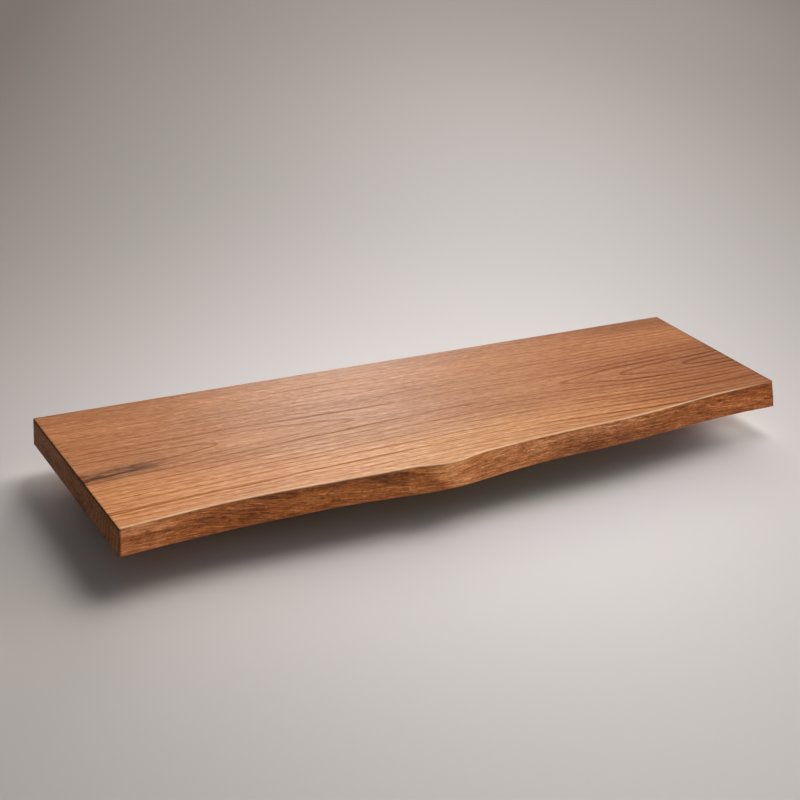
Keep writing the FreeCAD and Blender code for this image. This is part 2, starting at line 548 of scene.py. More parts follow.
    def __post_init__(self) -> None:
        """Take the length and half the thickness from the node's box."""
        low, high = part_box(self.node)
        self.length: float = (high.x - low.x) * METRE
        self.half: float = (high.z - low.z) * METRE / 2.0

    def face_depth(self, distance: Array, level: Array) -> Array:
        """Work out how far the live edge stands from the wall.

        The depth runs straight from the top arris to the lower arris, each a straight
        taper plus its swells, with a belly of sin(pi * drop) between them and a hollow
        of sin(pi * drop) * exp(-2 * drop) below the top arris.

        Args:
            distance: Places along the shelf from the left end.
            level: Heights on the edge.

        Returns:
            Depths in millimetres.
        """
        share = distance / self.length
        drop = held((self.half - level) / (2.0 * self.half))
        top = between(*self.depth, share)
        under = top + between(*self.lean, share) + heaped(self.under_swells, distance)
        top = top + heaped(self.top_swells, distance)
        hollow = self.undercut * np.exp(-2.0 * drop) * heaped(self.undercut_swells, distance)
        return between(top, under, drop) + np.sin(math.pi * drop) * (self.belly - hollow)

    def relief(self, distance: Array, level: Array) -> Array:
        """Add the hewn relief, fibres, rough stretch and knots, held back to a quarter at the arrises.

        The whole is kept below zero by a soft limit, so that it only takes wood away.

        Args:
            distance: Places along the shelf from the left end.
            level: Heights on the edge.

        Returns:
            Relief in millimetres, nowhere above zero.
        """
        drop = (self.half - level) / (2.0 * self.half)
        hold = between(0.25, 1.0, held(np.sin(math.pi * drop)) ** 0.5)
        rough = 0.35 + 1.3 * self.rough_stretch.at(distance)
        total = self.broad.at(distance, level) + self.fibre.at(distance, self.fibre_height(distance, level))
        total = total + rough * self.stipple.at(distance, level) + heaped(self.knots, distance, level)
        sharpness = 3.0
        return -np.logaddexp(0.0, -sharpness * hold * total) / sharpness

    def fibre_height(self, distance: Array, level: Array) -> Array:
        """Work out the height less the fibres' climb from the left end, the same all along a fibre.

        The climb is the slope summed over the distance, with the slope straight between
        its stations.

        Args:
            distance: Places along the shelf from the left end.
            level: Heights on the edge.

        Returns:
            Heights in millimetres.
        """
        spacing = 2.0
        places = np.arange(0.0, self.length + 1.0, spacing)
        slopes = np.interp(places, *np.array(self.fibre_slopes).T)
        climb = np.concatenate([[0.0], np.cumsum((slopes[1:] + slopes[:-1]) / 2.0 * spacing)])
        return level - np.interp(distance, places, climb)

    def stations(self) -> Array:
        """Place the sections along the board, crowded towards its ends by a cosine.

        Returns:
            Distances from the left end.
        """
        reach = self.right_corner[0] + 1.0
        close = reach * (1.0 - np.cos(np.linspace(0.0, QUARTER_TURN, 15)))
        middle = np.linspace(reach, self.length - reach, round((self.length - 2.0 * reach) / self.step))
        return np.concatenate([close[:-1], middle, self.length - close[-2::-1]])

    @staticmethod
    def drawn_in(gap: Array, radius: float | Array) -> Array:
        """Return how far a rounded corner of this radius draws in at each gap from the end face."""
        return radius - np.sqrt(radius**2 - np.clip(radius - gap, 0.0, radius) ** 2)

    @staticmethod
    def rim(depth: Array, level: Array, inward: float, down: float, turn: Array) -> tuple:
        """Return a quarter round: (depth - inward * (1 - sin(turn)), level - down * (1 - cos(turn)))."""
        return depth - inward * (1.0 - np.sin(turn)), level - down * (1.0 - np.cos(turn))

    def sections(self) -> Array:
        """Work out the slab's sections.

        Each section runs up the back, along the top, round the top arris, down the live
        edge, round the lower arris and back along the underside. Near the ends it draws
        in by the quarter rounds of the rims and upright corners.

        Returns:
            Points of shape (sections, points, 3).
        """
        distance = self.stations()[:, None]
        from_right = self.length - distance
        nearest = np.minimum(distance, from_right)
        ease, foot_ease = self.top_ease, self.foot_ease
        top = self.half - self.drawn_in(nearest, ease)
        foot = -self.half + self.drawn_in(nearest, foot_ease)
        back = self.drawn_in(nearest, self.back_corner)
        share = np.linspace(0.0, 1.0, 27)[None, :]
        right_radius = between(*self.right_corner, share)
        front_in = self.drawn_in(distance, self.left_corner) + self.drawn_in(from_right, right_radius)
        edge_level = between(top - ease, foot + foot_ease, share)
        edge = self.face_depth(distance, edge_level) + self.relief(distance, edge_level)
        edge = edge - front_in - self.inset
        turn = np.linspace(0.0, QUARTER_TURN, 6)[None, :-1]
        inner = np.array([[0.0, 0.04, 0.2, 0.4, 0.6, 0.8, 0.96, 0.988, 0.9955, 1.0]])
        front, front_foot = edge[:, :1], edge[:, -1:]
        runs = [
            self.rim(back, top, -ease, ease, QUARTER_TURN - turn),
            (between(back + ease, front - ease, inner)[:, :-1], top),
            self.rim(front, top, ease, ease, turn),
            (edge, edge_level),
            self.rim(front_foot, foot, foot_ease, -foot_ease, turn[:, ::-1]),
            (between(front_foot - foot_ease, back + foot_ease, inner)[:, 1:-1], foot),
            self.rim(back, foot, -foot_ease, -foot_ease, QUARTER_TURN - turn[:, ::-1]),
        ]
        depth = np.concatenate([run[0] for run in runs], axis=1)
        level = np.concatenate([np.broadcast_to(run[1], run[0].shape) for run in runs], axis=1)
        place = np.broadcast_to(distance - self.length / 2.0, depth.shape)
        rings = np.stack([place, -depth, level], axis=-1)
        return np.concatenate([self.shrunk(rings[:1]), rings, self.shrunk(rings[-1:])])

    def shrunk(self, ring: Array) -> Array:
        """Draw an end face's outline in by the cap rim, scaled about its middle across and up.

        Args:
            ring: The outline, of shape (1, points, 3).

        Returns:
            The smaller outline, of the same shape.
        """
        low, high = ring.min(axis=1, keepdims=True), ring.max(axis=1, keepdims=True)
        middle, half = (low + high) / 2.0, np.maximum((high - low) / 2.0, 1.0)
        return middle + (ring - middle) * (1.0 - self.cap_rim / half)

    def build(self, pockets: list[Surface]) -> Piece:
        """Make the slab, cut the pockets for the supports into it and mark its live edge.

        Args:
            pockets: Closed surfaces of the mortises, bores and insert seats.

        Returns:
            The finished piece.
        """
        piece = pierced(meshed(lofted(self.sections()), "oiled_slab"), pockets)
        self.mark_edge(piece.data)
        return smoothed(piece, 32.0)

    def mark_edge(self, mesh: bpy.types.Mesh) -> None:
        """Store five values at each point for the wood's finish.

        live_edge is 1 on the live edge and 0 from 2 mm inside it. arris is 1 on its top
        arris and 0 about 3 mm away, and fades towards the right end; it marks where a
        highlight is painted. corner is 1 on the upright corners and the rim of the right end,
        and less along the back; it marks where shade is painted as a dark line. edge_tone is
        the middle tone plus the patches. fibre_height is the same all along a fibre.

        Args:
            mesh: The slab's mesh, in metres.
        """
        flat = np.empty(len(mesh.vertices) * 3, dtype=np.float32)
        mesh.vertices.foreach_get("co", flat)
        right, back, level = flat.reshape(-1, 3).astype(float).T * METRE
        distance, from_right = right + self.length / 2.0, self.length / 2.0 - right
        gap = self.face_depth(distance, level) + back
        start, end = self.skin_ends
        live = held((end - gap) / (end - start)) * held((self.half - np.abs(level)) / 0.5)
        # The arris mark places a pale painted highlight along the top arris.
        inside, under = np.maximum(gap - 0.2, 0.0) / self.highlight_reach, np.maximum(self.half - level, 0.0)
        arris = held(1.25 - np.hypot(inside, under)) * np.clip(from_right / self.highlight_fade, 0.15, 1.0)
        # The corner mark places a dark line of painted shade on the rounded corners and rims.
        end_gap = np.minimum(distance, from_right) / self.corner_reach[0]
        side_gap = np.minimum(np.abs(gap), -back) / self.corner_reach[1]
        corners = held(1.35 - np.hypot(end_gap, side_gap))
        right_rim, back_rim = held(2.5 - from_right / 1.1), 0.45 * held(1.4 + back)
        values = {
            "live_edge": live,
            "arris": arris,
            "corner": np.maximum(np.maximum(corners, right_rim), back_rim),
            "edge_tone": self.tone + heaped(self.patches, distance, level),
            "fibre_height": self.fibre_height(distance, level),
        }
        for name, value in values.items():
            layer = mesh.attributes.new(name, "FLOAT", "POINT")
            layer.data.foreach_set("value", value.astype(np.float32))


@dataclass(frozen=True)
class Support:
    """One support: wall plate, rod, threaded insert and locking screw, and the pocket for them.

    Attributes:
        place: Which of the three supports it is.
        plate_gap: Gap between the plate and its mortise.
        rod_gap: Gap between the rod and its bore.
        bore_end: Room past the rod's tip.
        seat_gap: Gap between the insert and its seat.
        passage: Radius of the screw's way through the wood.
        thread_pitch: Pitch of the locking screw.
    """

    place: Place
    plate_gap: float = 0.5
    rod_gap: float = 0.25
    bore_end: float = 5.0
    seat_gap: float = 0.05
    passage: float = 3.3
    thread_pitch: float = 1.0

    def box(self, name: str) -> tuple[Vector, Vector, Vector]:
        """Return the lowest corner, the middle and the size of one of its nodes, in millimetres."""
        low, high = (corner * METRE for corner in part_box(f"{name}_{self.place.value}"))
        return low, (low + high) / 2.0, high - low

    def piece(self, surface: Surface, name: str) -> Piece:
        """Make a mesh object of one of its pieces."""
        return meshed(surface, f"{name}_piece_{self.place.value}")

    def pocket(self) -> list[Surface]:
        """Work out what the support takes out of the slab.

        Returns:
            Closed surfaces of the mortise, the bore and the stepped insert seat.
        """
        _, middle, size = self.box("wall_plate")
        depth, radius = size.y + self.plate_gap, size.z / 2.0 + self.plate_gap
        mortise = stadium_block(middle, size.x - size.z, [(radius, -PAST), (radius, depth)])
        low, _, size = self.box("support_rod")
        radius = size.z / 2.0 + self.rod_gap
        bore = turned(towards_room(middle), [(radius, depth - 0.5), (radius, self.bore_end - low.y)])
        low, seat, size = self.box("threaded_insert")
        flange, barrel = size.x / 2.0 + self.seat_gap, ThreadedInsert.barrel_radius + self.seat_gap
        thickness = ThreadedInsert.flange_thickness
        steps = [
            (flange, -PAST), (flange, thickness), (barrel, thickness),
            (barrel, size.z), (self.passage, size.z), (self.passage, -low.z),
        ]
        return [mortise, bore, turned(upward(seat, low.z), steps)]


@dataclass(frozen=True)
class WallPlate:
    """A steel wall plate: a stadium with a rod hole and two countersunk screw holes.

    Attributes:
        support: The support it belongs to.
        hole_inset: From the rounded end to a screw hole's middle.
        hole_radius: Radius of a screw hole.
        sink_radius: Radius of a countersink at the room side.
        land: Straight part of a screw hole at the wall side.
        spigot_radius: Radius of the hole that the rod is riveted into.
        ease: Radius of the eased edge.
    """

    support: Support
    hole_inset: float = 14.0
    hole_radius: float = 2.75
    sink_radius: float = 5.25
    land: float = 1.5
    spigot_radius: float = 5.0
    ease: float = 0.35

    def build(self) -> Piece:
        """Make the plate and drill its three holes.

        Returns:
            The finished piece.
        """
        _, middle, size = self.support.box("wall_plate")
        radius, far = size.z / 2.0, size.y + PAST
        rim = rounded(radius, 0.0, self.ease, True) + rounded(radius, size.y, self.ease, False)
        piece = self.support.piece(stadium_block(middle, size.x - size.z, rim), "wall_plate")
        slope = (self.sink_radius - self.hole_radius) / (size.y - self.land)
        sink_end = self.sink_radius + slope * PAST
        sunk = [(self.hole_radius, -PAST), (self.hole_radius, self.land), (sink_end, far)]
        aside = Vector((size.x / 2.0 - self.hole_inset, 0.0, 0.0))
        holes = [turned(towards_room(spot), sunk, 64) for spot in (middle - aside, middle + aside)]
        spigot = turned(towards_room(middle), [(self.spigot_radius, -PAST), (self.spigot_radius, far)])
        return smoothed(pierced(piece, [*holes, spigot]), 25.0)


@dataclass(frozen=True)
class SupportRod:
    """A drawn steel rod with a riveted spigot in the plate and a chamfered tip.

    Attributes:
        support: The support it belongs to.
        spigot_radius: Radius of the spigot.
        tip_chamfer: Chamfer of the tip.
        ease: Rounding between the chamfer and the rod's side.
    """

    support: Support
    spigot_radius: float = 5.0
    tip_chamfer: float = 1.5
    ease: float = 0.25

    def build(self) -> Piece:
        """Turn the rod, with a shallow peened dish in the spigot's end.

        Returns:
            The finished piece.
        """
        low, middle, size = self.support.box("support_rod")
        shoulder = self.support.box("wall_plate")[2].y
        radius, reach = size.z / 2.0, -low.y
        tip, side_end = radius - self.tip_chamfer, reach - self.tip_chamfer
        dish = [(0.6, 0.35), (2.6, 0.3), (3.4, 0.05)]
        profile = [
            *dish,
            (self.spigot_radius - 0.3, 0.0),
            (self.spigot_radius, 0.3),
            (self.spigot_radius, shoulder),
            (radius - self.ease, shoulder),
            (radius, shoulder + self.ease),
            (radius, side_end - self.ease),
            (radius - 0.07, side_end),
            (tip + 0.12, reach - 0.12),
            (tip - 0.15, reach),
            (0.9, reach),
            (0.25, reach - 0.3),
        ]
        return smoothed(self.support.piece(turned(towards_room(middle), profile), "support_rod"), 28.0)


def ridge(place: Array) -> Array:
    """Return a thread's height from 0 to 1, once a unit: flat root, straight flanks, flat crest."""
    return held(1.7 * (1.0 - np.abs(2.0 * (place % 1.0) - 1.0)) - 0.35)


@dataclass(frozen=True)
class ThreadedInsert:
    """A flanged brass insert: coarse thread outside, machine thread inside.

    Attributes:
        support: The support it belongs to.
        barrel_radius: Radius of the barrel below the flange.
        flange_thickness: Thickness of the flange.
        bore_radius: Radius of the bore inside the thread's crests.
        groove_depth: Depth of the inner thread.
        outer_pitch: Pitch of the coarse outer thread.
        outer_depth: Depth of the coarse outer thread.
    """

    support: Support
    barrel_radius: float = 4.5
    flange_thickness: float = 1.0
    bore_radius: float = 3.05
    groove_depth: float = 0.34
    outer_pitch: float = 2.0
    outer_depth: float = 0.5

    def build(self) -> Piece:
        """Carry the insert's section about its axis.

        The inner radius is the bore plus groove_depth * ridge(along / pitch - turn), the
        outer radius is the barrel less outer_depth * ridge(along / outer pitch - turn).

        Returns:
            The finished piece.
        """
        low, middle, size = self.support.box("threaded_insert")
        height, flange, under = size.z, size.x / 2.0, self.flange_thickness
        turn = np.arange(COLUMNS)[None, :] / COLUMNS
        inner = np.linspace(height - 0.25, 0.35, 100)[:, None]
        fade = held(np.minimum(inner, height - inner) / 0.8)
        groove = self.groove_depth * ridge(inner / self.support.thread_pitch - turn) * fade
        outer = np.linspace(under + 0.1, height - 0.4, 60)[:, None]
        calm = held(np.minimum(outer - under, height - outer) / 0.9)
        notch = self.outer_depth * ridge(outer / self.outer_pitch - turn) * calm
        barrel, bore = self.barrel_radius, self.bore_radius
        mouth = [
            (3.3, 0.0), (3.45, 0.0), (flange - 0.55, 0.0), (flange - 0.2, 0.06),
            (flange - 0.04, 0.22), (flange, 0.4), (flange, under), (barrel, under),
        ]
        crown = [(barrel, height - 0.3), (barrel - 0.3, height), (bore + 0.25, height)]
        runs = [plain(mouth), (barrel - notch, outer), plain(crown), (bore + groove, inner)]
        rings = upward(middle, low.z).around(runs, COLUMNS)
        return smoothed(self.support.piece(ring_closed(rings), "threaded_insert"), 40.0)


@dataclass(frozen=True)
class LockScrew:
    """A grub screw with a hexagon socket in its lower end.

    Attributes:
        support: The support it belongs to.
        thread_depth: Depth of the thread.
        socket_half: Half the width across the socket's flats.
        socket_depth: Depth of the socket.
        chamfer: Chamfer at both ends.
    """

    support: Support
    thread_depth: float = 0.5
    socket_half: float = 1.5
    socket_depth: float = 3.5
    chamfer: float = 0.5

    def build(self) -> Piece:
        """Carry the screw's outline about its axis, from the socket's floor out and up to the tip.

        The thread's radius is the outer radius less thread_depth * (1 - ridge(along /
        pitch - turn)), and no more than the chamfer leaves. The socket's radius is its
        half width over cos(angle from the middle of the nearest flat).

        Returns:
            The finished piece.
        """
        low, middle, size = self.support.box("lock_screw")
        height, radius = size.z, size.x / 2.0
        turn = np.arange(COLUMNS)[None, :] / COLUMNS
        flat_angle = (turn * 6.0 + 0.5) % 1.0 - 0.5
        socket = self.socket_half / np.cos(flat_angle * FULL_TURN / 6.0)
        along = np.linspace(0.0, height, 110)[:, None]
        thread = radius - self.thread_depth * (1.0 - ridge(along / self.support.thread_pitch - turn))
        limit = radius - self.chamfer + np.minimum(along, height - along)
        runs = [
            (socket * 0.15, self.socket_depth + 0.35),
            (socket * 0.9, self.socket_depth),
            (socket, self.socket_depth - 0.08),
            (socket, 0.25),
            (np.maximum(socket, self.socket_half + 0.1), 0.0),
            (np.minimum(thread, limit), along),
            plain([(1.4, height), (0.5, height)]),
        ]
        rings = upward(middle, low.z).around(runs, COLUMNS)
        return smoothed(self.support.piece(lofted(rings), "lock_screw"), 38.0)


class Value:
    """A node's output to reckon with: each sum, product and so on adds a Math node."""

    def __init__(self, graph: "Graph", socket: bpy.types.NodeSocket) -> None:
        """Hold a socket and the graph that it belongs to."""
        self.graph, self.socket = graph, socket

    def maths(self, operation: str, *others: "Value | float") -> "Value":
        """Return a Math node's result on this value and the others."""
        return self.graph.maths(operation, self, *others)

    def __add__(self, other: "Value | float") -> "Value":
        """Add a value or number."""
        return self.maths("ADD", other)

    def __sub__(self, other: "Value | float") -> "Value":
        """Take away a value or number."""
        return self.maths("SUBTRACT", other)

    def __rsub__(self, other: float) -> "Value":
        """Take this value away from a number."""
        return self.graph.maths("SUBTRACT", other, self)

    def __mul__(self, other: "Value | float") -> "Value":
        """Multiply by a value or number."""
        return self.maths("MULTIPLY", other)

    def __truediv__(self, other: "Value | float") -> "Value":
        """Divide by a value or number."""
        return self.maths("DIVIDE", other)

    def __pow__(self, other: float) -> "Value":
        """Raise to a power."""
        return self.maths("POWER", other)

    def __neg__(self) -> "Value":
        """Turn the sign round."""
        return self * -1.0

    def __abs__(self) -> "Value":
        """Drop the sign."""
        return self.maths("ABSOLUTE")

    __radd__, __rmul__ = __add__, __mul__

    def step(
        self, low: float, high: float, start: float = 0.0, end: float = 1.0, kind: str = "SMOOTHSTEP"
    ) -> "Value":
        """Return a step of this value from start at low to end at high, smooth unless its kind says else."""
        inputs = {"Value": self, "From Min": low, "From Max": high, "To Min": start, "To Max": end}
        return self.graph.value("ShaderNodeMapRange", inputs, interpolation_type=kind)

    def curve(self, stations: Pairs) -> "Value":
        """Run a smooth curve through stations.

        Args:
            stations: (value, height) pairs in order.

        Returns:
            The curve's height at this value.
        """
        values, heights = np.array(stations).T
        low, high = heights.min() - 0.5, heights.max() + 0.5
        share = self.step(float(values[0]), float(values[-1]), kind="LINEAR")
        node = self.graph.add("ShaderNodeFloatCurve", {"Value": share})
        line = node.mapping.curves[0]
        shares = (values - values[0]) / (values[-1] - values[0])
        while len(line.points) < len(stations):
            line.points.new(0.5, 0.5)
        for point, at, level in zip(line.points, shares, (heights - low) / (high - low)):
            point.location = (at, level)
        node.mapping.update()
        return Value(self.graph, node.outputs[0]) * float(high - low) + float(low)

    def colours(self, stops: Stops, kind: str = "LINEAR") -> "Value":
        """Run through colours as this value runs from 0 to 1.

        Args:
            stops: (value, colour) pairs in order.
            kind: How the colour goes from stop to stop.

        Returns:
            The colour at this value.
        """
        node = self.graph.add("ShaderNodeValToRGB", {0: self})
        node.color_ramp.interpolation = kind
        marks = node.color_ramp.elements
        while len(marks) < len(stops):
            marks.new(0.5)
        for mark, (at, colour) in zip(marks, stops):
            mark.position = at
            mark.color = (*colour, 1.0)
        return Value(self.graph, node.outputs[0])


class Graph:
    """A node tree, with a short method for each kind of node that the finishes use.

    Attributes:
        tree: The node tree.
        x, y, z: The point's coordinates, in metres on an object.
    """

    def __init__(self, tree: bpy.types.NodeTree, coordinates: str = "Object") -> None:
        """Empty a tree and read the point's coordinates in it.

        Args:
            tree: The node tree.
            coordinates: Which of the point's coordinates are read.
        """
        self.tree = tree
        tree.nodes.clear()
        point = self.add("ShaderNodeTexCoord").outputs[coordinates]
        parts = self.add("ShaderNodeSeparateXYZ", {0: point}).outputs
        self.x, self.y, self.z = (Value(self, part) for part in parts)

    def add(self, kind: str, inputs: dict | None = None, **settings: object) -> bpy.types.Node:
        """Add a node.

        Args:
            kind: The node's type.
            inputs: Socket name or number to a number, a colour, a socket or a value.
            **settings: Properties of the node.

        Returns:
            The node.
        """
        node = self.tree.nodes.new(kind)
        for name, setting in settings.items():
            setattr(node, name, setting)
        for name, given in (inputs or {}).items():
            given = given.socket if isinstance(given, Value) else given
            if isinstance(given, bpy.types.NodeSocket):
                self.tree.links.new(given, node.inputs[name])
            else:
                node.inputs[name].default_value = given
        return node

    def value(
        self, kind: str, inputs: dict | None = None, output: int | str = 0, **settings: object
    ) -> Value:
        """Add a node and return one of its outputs."""
        return Value(self, self.add(kind, inputs, **settings).outputs[output])

    def maths(self, operation: str, *values: "Value | float | bpy.types.NodeSocket") -> Value:
        """Return a Math node's result on up to three values, numbers or sockets."""
        return self.value("ShaderNodeMath", dict(enumerate(values)), operation=operation)

    def marked(self, name: str) -> Value:
        """Return a value that is stored at the mesh's points."""
        return self.value("ShaderNodeAttribute", output="Fac", attribute_name=name)

    def vector(self, x: Value | float, y: Value | float, z: Value | float) -> Value:
        """Return a vector or colour of three values."""
        return self.value("ShaderNodeCombineXYZ", {0: x, 1: y, 2: z})

    def fractal(self, vector: Value, detail: float, roughness: float, distortion: float = 0.0) -> Value:
        """Return fractal noise from 0 to 1 at a vector, one unit to a wave."""
        inputs = {"Vector": vector, "Scale": 1.0, "Detail": detail, "Roughness": roughness}
        return self.value("ShaderNodeTexNoise", inputs | {"Distortion": distortion})

    def noise(self, waves: Triple, detail: float, roughness: float) -> Value:
        """Return fractal noise from 0 to 1 with so many waves per metre along X, Y and Z."""
        spread = self.vector(self.x * waves[0], self.y * waves[1], self.z * waves[2])
        return self.fractal(spread, detail, roughness)

    def blend(
        self, share: Value | float, first: Value | tuple, second: Value | tuple, mode: str = "MIX"
    ) -> Value:
        """Return a mix of two colours, by a share of the second."""
        settings = {"data_type": "RGBA", "blend_type": mode, "clamp_factor": True}
        return self.value("ShaderNodeMix", {0: share, 6: first, 7: second}, 2, **settings)

    def bump(self, height: Value, depth: float) -> Value:
        """Return a normal raised by a height of 0 to 1 over a depth in metres."""
        return self.value("ShaderNodeBump", {"Height": height, "Strength": 1.0, "Distance": depth})


class Paint(Graph):
    """The graph of a material that ends in one principled shader."""

    def __init__(self, name: str) -> None:
        """Start a material.

        Args:
            name: The material's name.
        """
        self.material = bpy.data.materials.new(name)
        self.material.use_nodes = True
        super().__init__(self.material.node_tree)

    def finish(self, **sockets: object) -> bpy.types.Material:
        """Feed the shader and end the graph in it.

        Args:
            **sockets: What each socket of the shader gets, by its name with underscores for blanks.

        Returns:
            The material.
        """
        inputs = {name.replace("_", " "): given for name, given in sockets.items()}
        shader = self.add("ShaderNodeBsdfPrincipled", inputs)
        self.add("ShaderNodeOutputMaterial", {"Surface": shader.outputs[0]})
        return self.material


class WoodPaint(Paint):
    """The wood's graph, with places in millimetres.

    Attributes:
        along: Distance from the left end.
        across: Distance from the wall.
        below: Depth under the top face.
        live: 1 on the live edge.
        ends: 1 on the sawn ends.
    """

    def __init__(self, name: str) -> None:
        """Start the wood's material.

        Args:
            name: The material's name.
        """
        super().__init__(name)
        self.along = self.x * METRE + HALF_LENGTH
        self.across = self.y * -METRE
        self.below = self.z * -METRE + HALF_THICKNESS
        self.live = self.marked("live_edge")
        self.ends = abs(self.x).step(0.4494, 0.4499)


def rgb(red: float, green: float, blue: float) -> tuple[float, float, float, float]:
    """Return an opaque colour of linear red, green and blue."""
    return (red, green, blue, 1.0)


@dataclass(frozen=True)
class OiledWood:
    """Flat-sawn hardwood under oil, with its growth rings as a field through the whole slab.

    A ring's number is (sqrt(side^2 + (heart height + below)^2) - heart depth) / ring width,
    where side is the distance across from the heart line and below the depth under the
    top face. The heart line and height wander along the board, which closes the rings to
    pointed arches on the top face. Distances are in millimetres.

    Attributes:
        heart_line: Heart line's distance from the wall along the board.
        heart_height: Heart's distance beyond the top face along the board.
        heart_depth: Radius of the ring that is counted as zero.
        ring_width: Spacing of the bold rings.
        first_ring: Number of the first ring in ring_strength.
        ring_strength: How dark each bold ring is.
        ring_shade: What the darkest ring adds to the light along the board.
        knot_middle, knot_reach: Place and size of the knot that bends the rings, in metres.
        knot_push: How far it pushes them out.
        fibre_layers: Share, waves per metre, detail and roughness of each layer of fibres.
        tone: Level of the ground colour along the board.
        right_bands: What the right end adds to that level across the board.
        middle_share: How much the middle's bands count along the board.
        middle_bands: What the middle adds across the board.
        rear_tone: What the strip at the wall adds along the board.
        sheen_paleness: How much a painted sheen pales the strip behind the live edge, along the board.
        ground_colours: Colours of the ground from low to high level.
        skin: Colours of the live edge from dark to light tone.
        end_grain: Colours of the sawn ends.
        rosiness, greenness: How much blue and green the live edge keeps along the board.
        bark, corner_shade, arris_highlight, end_rim: Colours of those places; corner_shade is
        painted shade on the rounded corners, arris_highlight a painted highlight on the top arris.
        green_power, blue_power: Powers of the light that shade the green and the blue.
        grain_depth: Depth of the grain in the surface, in metres.
    """

    heart_line: Pairs = (
        (0, 137), (160, 133), (338, 131), (470, 131), (600, 136), (706, 143), (815, 145), (900, 144),
    )
    heart_height: Pairs = (
        (0, 11.5), (90, 14.5), (168, 18.8), (343, 26.8), (430, 27.8), (520, 27.8), (621, 26.8),
        (718, 18.8), (821, 10.8), (900, 5.0),
    )
    heart_depth: float = 28.0
    ring_width: float = 8.0
    first_ring: int = -3
    ring_strength: tuple[float, ...] = (
        0.5, 0.7, 0.6, 0.65, 0.4, 0.6, 0.4, 0.6, 0.4, 0.7, 0.4, 1.0, 0.4, 0.5, 0.4, 0.5, 0.5, 0.4,
    )
    ring_shade: Pairs = ((0, -0.43), (520, -0.43), (640, -0.52), (740, -0.70), (900, -0.70))
    knot_middle: Triple = (-0.112, -0.268, 0.002)
    knot_reach: Triple = (0.017, 0.020, 0.009)
    knot_push: float = 9.0
    fibre_layers: tuple = (
        (0.44, (9.0, 260.0, 340.0), 3.0, 0.65),
        (0.27, (42.0, 340.0, 430.0), 1.0, 0.5),
        (0.29, (125.0, 420.0, 520.0), 1.0, 0.6),
    )
    tone: Pairs = ((0, 0.5), (560, 0.5), (700, 0.46), (800, 0.36), (900, 0.24))
    right_bands: Pairs = ((0, -0.22), (22, -0.14), (60, 0.18), (105, 0.05), (150, -0.09), (270, -0.18))
    middle_share: Pairs = ((0, 0), (190, 0), (330, 1), (480, 1), (600, 0.5), (900, 0.5))
    middle_bands: Pairs = ((0, 0), (60, 0.03), (105, -0.27), (150, -0.13), (200, 0.12), (270, 0.12))
    rear_tone: Pairs = ((0, 0), (400, 0), (490, -0.11), (590, -0.12), (680, 0), (900, -0.06))
    # painted sheen: paler middle of the strip behind the live edge
    sheen_paleness: Pairs = ((0, 0), (150, 0), (320, 0.7), (500, 1), (600, 0.4), (720, 0), (900, 0))
    ground_colours: Stops = (
        (0.0, (0.335, 0.118, 0.038)), (0.5, (0.49, 0.193, 0.071)), (1.0, (0.68, 0.292, 0.108)),
    )
    skin: Stops = (
        (0.0, (0.10, 0.021, 0.003)), (0.2, (0.25, 0.062, 0.010)), (0.4, (0.45, 0.136, 0.027)),
        (0.6, (0.68, 0.238, 0.060)), (0.8, (0.95, 0.410, 0.140)), (1.0, (1.0, 0.600, 0.260)),
    )
    end_grain: Stops = (
        (0.0, (0.056, 0.021, 0.007)), (0.5, (0.215, 0.083, 0.029)), (1.0, (0.47, 0.185, 0.068)),
    )
    rosiness: Pairs = ((0, 1.2), (290, 1.0), (470, 1.35), (610, 1.6), (720, 1.2), (900, 1.1))
    greenness: Pairs = ((0, 0.94), (200, 0.99), (470, 1.04), (580, 1.10), (740, 1.0), (900, 0.93))
    bark: tuple = rgb(0.072, 0.016, 0.002)
    # painted shade on the rounded corners
    corner_shade: tuple = rgb(0.045, 0.013, 0.004)
    # pale painted highlight along the top arris
    arris_highlight: tuple = rgb(1.0, 0.63, 0.37)
    end_rim: tuple = rgb(0.03, 0.011, 0.004)
    green_power: float = 1.65
    blue_power: float = 2.8
    grain_depth: float = 0.00022

    def material(self) -> bpy.types.Material:
        """Build the wood's material from its layers.

        The light of the grain multiplies the ground colour, in green and blue by a power
        of itself, so that darker places are also redder.

        Returns:
            The material.
        """
        at = WoodPaint("oiled_wood")
        rings, lean = self.rings(at)
        bold = self.bold_rings(at, rings, lean)
        fine = self.fine_rings(at, rings, lean) * at.across.step(135.0, 185.0, 0.10, 0.18)
        fibres = sum(at.noise(*grain) * share for share, *grain in self.fibre_layers)
        flecks = at.noise((95.0, 380.0, 520.0), 0.0, 0.5).step(0.54, 0.72)
        pores = at.noise((75.0, 640.0, 640.0), 0.0, 0.5).step(0.56, 0.70)
        contrast = at.along.step(620.0, 760.0, 1.35, 1.0)
        light = (fibres - 0.5) * contrast + 1.0 + flecks * 0.09 - pores * 0.13
        bold = bold.maths("MAXIMUM", self.front_line(at))
        light = light * (1.0 - fine) * (bold * at.along.curve(self.ring_shade) + 1.0)
        tint = at.vector(light, light**self.green_power, light**self.blue_power)
        shaded = at.blend(1.0, self.ground(at), tint, "MULTIPLY")
        shaded = at.blend(self.bark_streak(at) * 0.92, shaded, self.bark)
        shaded = self.edge_colour(at, shaded)
        shaded = self.end_colour(at, rings, shaded)
        # Painted shade as a dark line along the rounded corners and rims.
        shaded = at.blend(at.marked("corner") * 0.75, shaded, self.corner_shade)
        rough = fibres * -0.20 + 0.49 + bold * 0.22 + at.live * 0.2 + at.ends * 0.4
        normal = at.bump(bold * -0.35 + fibres + flecks * 0.5, self.grain_depth)
        return at.finish(Base_Color=shaded, Roughness=rough, Normal=normal, Specular_IOR_Level=0.4)

